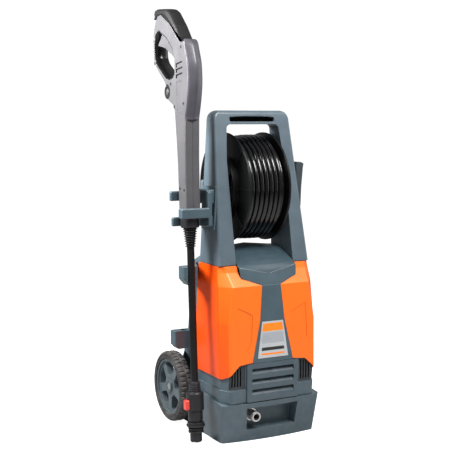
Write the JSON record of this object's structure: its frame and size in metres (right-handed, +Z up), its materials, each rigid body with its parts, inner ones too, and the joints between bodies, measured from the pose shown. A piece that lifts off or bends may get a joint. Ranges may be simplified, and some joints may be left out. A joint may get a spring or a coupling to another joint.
{
  "type": "pressure washer",
  "caption": "Upright electric pressure washer with a hose reel in its handle frame, folding crank, rear wheels and a spray gun with lance parked at the side.",
  "frame": {"origin": "on the floor under the middle of the base", "axes": "+Z up, -Y is the front with the water inlet, +X is the crank side"},
  "size_m": [0.4056, 0.376, 1.1153],
  "materials": {
    "housing_grey": "fine textured moulding",
    "dark_grey": "fine textured moulding",
    "orange": "satin moulding",
    "black_plastic": "satin moulding",
    "hose_black": "glossy hose sheath",
    "gun_grey": "fine textured moulding",
    "soft_grip": "soft grip",
    "rubber": "moulded rubber",
    "tyre": "moulded tyre",
    "rim_grey": "fine textured moulding",
    "red": "satin moulding",
    "steel": "turned",
    "plated": "nickel plated",
    "brass": "turned",
    "aluminium": "die cast",
    "copper_iron": "laminated core and windings",
    "light_grey": "satin moulding"
  },
  "bodies": {
    "chassis": {"base_housing": "housing_grey", "rubber_feet": "rubber", "inlet_nipple": "plated", "inlet_strainer": "black_plastic", "wheel_axle": "steel", "side_panel_right": "orange", "side_panel_left": "orange", "front_cover": "housing_grey", "front_louvre": "dark_grey", "side_vents": "dark_grey", "name_plate": "light_grey", "hood": "housing_grey", "rear_cover": "housing_grey", "switch_box": "black_plastic", "cable_gland": "rubber", "tower_front_shell": "housing_grey", "tower_rear_shell": "housing_grey", "reel_bushes": "black_plastic", "gun_bracket": "housing_grey", "lance_holders": "housing_grey", "motor_mounts": "rubber", "pump_head": "aluminium", "pistons": "steel", "pump_case": "aluminium", "motor_bearings": "steel", "stator": "copper_iron", "motor_housing": "aluminium", "motor_electrics": "black_plastic", "pump_fittings": "brass", "pressure_line": "brass"},
    "left_wheel": {"left_wheel_rim": "rim_grey", "left_tyre": "tyre"},
    "right_wheel": {"right_wheel_rim": "rim_grey", "right_tyre": "tyre"},
    "reel": {"reel_drum": "black_plastic", "reel_flanges": "black_plastic", "reel_shaft": "steel", "hose_coil": "hose_black", "hose_fitting": "plated", "crank_arm": "dark_grey"},
    "crank_handle": {"crank_grip": "black_plastic"},
    "gun": {"gun_shell_left": "gun_grey", "gun_shell_right": "gun_grey", "gun_fairing": "dark_grey", "grip_rubber": "soft_grip", "gun_fasteners": "steel", "gun_valve": "brass", "gun_collar": "gun_grey", "lance_boot": "rubber", "lance_tube": "black_plastic", "lance_connector": "black_plastic", "nozzle_body": "black_plastic"},
    "gun_trigger": {"trigger": "gun_grey"},
    "safety_lock": {"trigger_lock": "red"},
    "dial": {"regulator_dial": "black_plastic"},
    "latch": {"latch_button": "red"},
    "spray_nozzle": {"nozzle_sleeve": "black_plastic"},
    "switch": {"switch_knob": "black_plastic"},
    "motor_rotor": {"rotor": "steel", "wobble_plate": "steel"}
  },
  "joints": [
    {"name": "left_wheel_spin", "type": "hinge", "parent": "chassis", "child": "left_wheel", "pos_m": [-0.157, 0.136, 0.096], "axis": [1, 0, 0], "continuous": true},
    {"name": "right_wheel_spin", "type": "hinge", "parent": "chassis", "child": "right_wheel", "pos_m": [0.157, 0.136, 0.096], "axis": [1, 0, 0], "continuous": true},
    {"name": "reel_spin", "type": "hinge", "parent": "chassis", "child": "reel", "pos_m": [0, 0.018, 0.648], "axis": [1, 0, 0], "continuous": true},
    {"name": "crank_fold", "type": "hinge", "parent": "reel", "child": "crank_handle", "pos_m": [0.163, 0.018, 0.597], "axis": [0, 1, 0], "range_deg": [0, 90]},
    {"name": "gun_lift", "type": "slide", "parent": "chassis", "child": "gun", "axis": [0, 0.0591, 0.9983], "range_m": [0, 0.22]},
    {"name": "trigger_squeeze", "type": "hinge", "parent": "gun", "child": "gun_trigger", "pos_m": [-0.187, 0.00561, 0.98726], "axis": [1, 0, 0], "range_deg": [0, 10], "stiffness_Nm_per_rad": 4, "springref_deg": -5.73},
    {"name": "trigger_lock_fold", "type": "hinge", "parent": "gun_trigger", "child": "safety_lock", "pos_m": [-0.187, 0.09077, 1.02129], "axis": [1, 0, 0], "range_deg": [0, 55]},
    {"name": "dial_turn", "type": "hinge", "parent": "gun", "child": "dial", "pos_m": [-0.187, 0.05537, 0.89716], "axis": [1, 0, 0], "range_deg": [0, 270]},
    {"name": "latch_press", "type": "slide", "parent": "gun", "child": "latch", "axis": [1, 0, 0], "range_m": [0, 0.004], "stiffness_N_per_m": 400, "springref_m": -0.002},
    {"name": "nozzle_twist", "type": "hinge", "parent": "gun", "child": "spray_nozzle", "pos_m": [-0.187, -0.06842, 0.02496], "axis": [0, 0.0591, 0.9983], "range_deg": [-45, 45]},
    {"name": "switch_turn", "type": "hinge", "parent": "chassis", "child": "switch", "pos_m": [0.062, 0.098, 0.404], "axis": [0, 1, 0], "range_deg": [0, 90]},
    {"name": "rotor_spin", "type": "hinge", "parent": "chassis", "child": "motor_rotor", "pos_m": [0, -0.022, 0.25], "axis": [0, 0, 1], "continuous": true}
  ]
}
